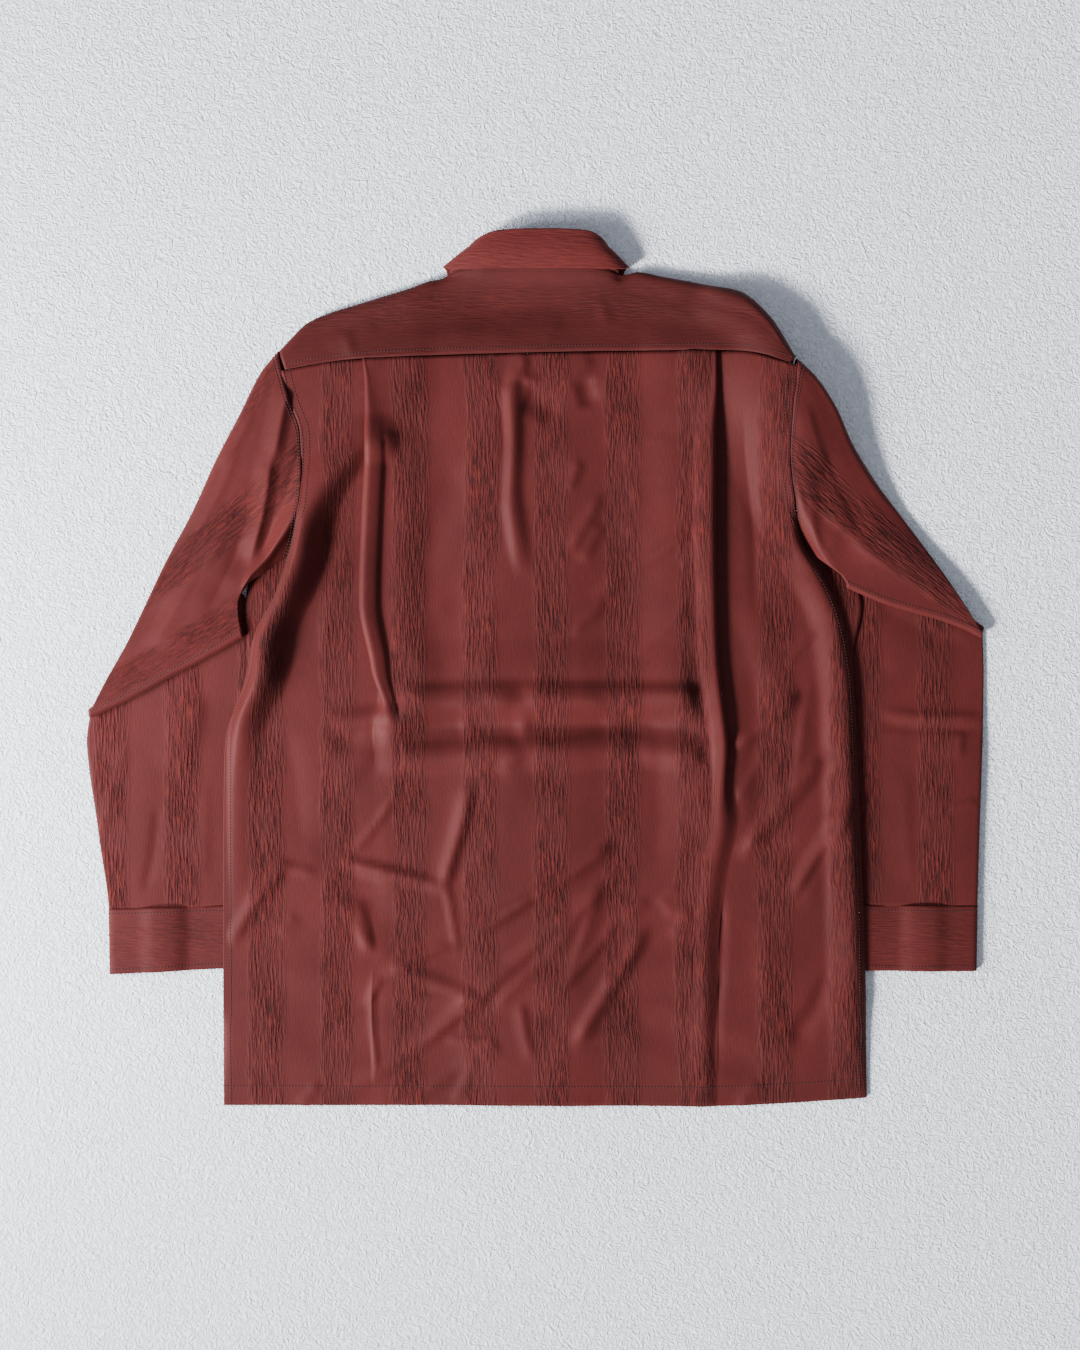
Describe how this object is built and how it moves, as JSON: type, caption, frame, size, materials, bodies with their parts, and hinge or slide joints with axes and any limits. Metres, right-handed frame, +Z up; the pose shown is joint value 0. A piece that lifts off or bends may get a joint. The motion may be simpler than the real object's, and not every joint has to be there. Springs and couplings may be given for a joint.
{
  "type": "long-sleeve shirt",
  "caption": "Long-sleeve button-front shirt laid face down with its back up: pleated back under a yoke, turned-down collar, and sleeves folded at the elbow.",
  "frame": {"origin": "centre of the part's outline seen from above, on the surface that it lies on", "axes": "+Z up out of the shirt's back, away from the surface; +Y up the shirt, from hem to collar; +X to the viewer's right when the back is seen with the collar at the top"},
  "size_m": [0.8382, 0.8157, 0.0312],
  "materials": {
    "cloth_body": "woven, matt crinkled stripes between satin stripes",
    "cloth_yoke": "the same cloth, cut across the shirt",
    "cloth_front": "woven, matt crinkled stripes between satin stripes",
    "cloth_sleeve": "woven, matt crinkled stripes between satin stripes",
    "cloth_cuff": "the same cloth, double and stiffened",
    "cloth_collar": "the same cloth, double and stiffened",
    "button": "moulded, polished rim"
  },
  "bodies": {
    "root": {"back": "cloth_body", "yoke": "cloth_yoke", "front_left": "cloth_front", "front_right": "cloth_front", "sleeve_left": "cloth_sleeve", "sleeve_right": "cloth_sleeve", "cuff_left": "cloth_cuff", "cuff_right": "cloth_cuff", "collar_stand": "cloth_collar", "collar": "cloth_collar", "button_1": "button", "button_2": "button", "button_3": "button", "button_4": "button", "button_5": "button", "button_6": "button", "button_7": "button", "button_collar": "button", "button_cuff_left": "button", "button_cuff_right": "button"}
  },
  "joints": []
}
